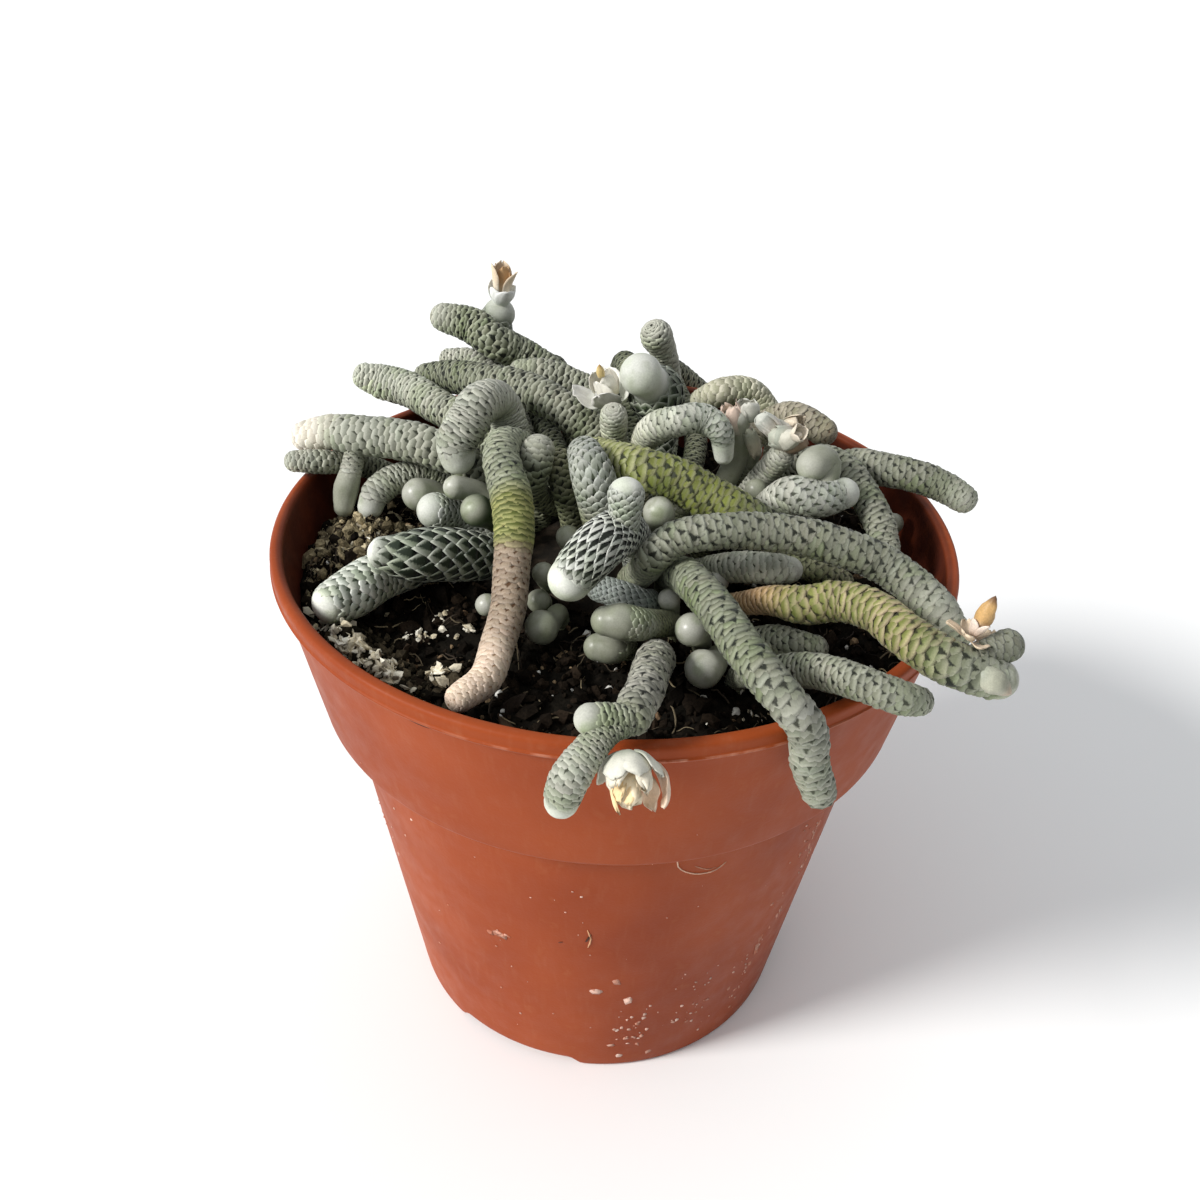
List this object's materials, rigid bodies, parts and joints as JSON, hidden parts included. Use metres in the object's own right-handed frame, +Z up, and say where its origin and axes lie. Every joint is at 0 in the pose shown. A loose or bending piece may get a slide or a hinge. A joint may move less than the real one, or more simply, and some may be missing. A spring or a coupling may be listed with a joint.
{
  "type": "potted avonia",
  "caption": "Low clump of scaly grey-green avonia stems spreading over the rim of a tapered round plastic nursery pot.",
  "frame": {"origin": "centre of the pot's base, on the surface that the pot stands on, on the pot's axis", "axes": "+Z up along the pot's axis, -Y the front, where the flowering stem hangs over the lip, +X to the right of someone facing the front"},
  "size_m": [0.1097, 0.1217, 0.1134],
  "materials": {
    "pot": "satin terracotta-coloured moulded plastic, lightly scuffed and dusty",
    "soil": "loose dark peat with bark, fibres and small white perlite grains",
    "crown": "rough brown woody root crown",
    "scaly": "matte grey-green stem under overlapping papery scales",
    "net": "whitish papery scales in an open net over green",
    "bud": "pale grey-white smooth bud with fine rings, slightly satin",
    "olive": "yellow-green to olive stem with pale-edged scales",
    "drying": "yellow-green fading into dry tan and pink, brown-edged scales",
    "petal": "thin cream and white dried petals",
    "capsule": "golden brown dry seed capsule"
  },
  "bodies": {
    "root": {"pot": "pot", "soil": "soil", "root_crown": "crown", "stem_back_left_high": "scaly", "stem_back_flowering": "net", "stem_back_stub": "scaly", "stem_left_back": "scaly", "stem_left_long": "scaly", "stem_back_grey": "scaly", "stem_left_hooked": "scaly", "stem_left_rim": "scaly", "stem_left_under": "scaly", "shoot_left_drooping": "scaly", "bud_left_pale": "bud", "bud_left_speckled": "net", "bud_left_small": "bud", "bud_left_green": "bud", "stem_front_left_thick": "net", "stem_front_left_net": "net", "stem_front_drying": "drying", "shoot_centre_green": "bud", "shoot_centre_olive": "olive", "shoot_centre_white": "net", "shoot_front_net": "net", "shoot_front_low": "scaly", "bud_front_oval": "bud", "bud_front_low": "bud", "stem_front_rim": "scaly", "stem_front_right_rim": "scaly", "stem_right_arch": "scaly", "stem_right_golden": "drying", "stem_right_low_rim": "scaly", "shoot_right_low": "scaly", "shoot_right_inner": "scaly", "shoot_right_tan": "olive", "stem_centre_yellow": "olive", "stem_centre_curled": "scaly", "shoot_back_upright": "scaly", "shoot_back_net": "net", "bud_centre_back": "bud", "stem_back_right": "olive", "stem_back_right_tan": "olive", "shoot_cluster_left": "bud", "shoot_cluster_right": "scaly", "shoot_right_white": "net", "stem_far_right_rim": "scaly", "stem_right_back": "scaly", "bud_centre_grey": "bud", "bud_front_round": "bud", "bud_front_shiny": "bud", "bud_front_soil": "bud", "stem_rear_left": "scaly", "stem_rear_middle": "scaly", "stem_rear_right": "scaly", "flower_front_dried": "petal", "flower_back_dried": "petal", "flower_centre_papery": "petal", "capsule_golden": "capsule", "capsule_pale": "petal"}
  },
  "joints": []
}
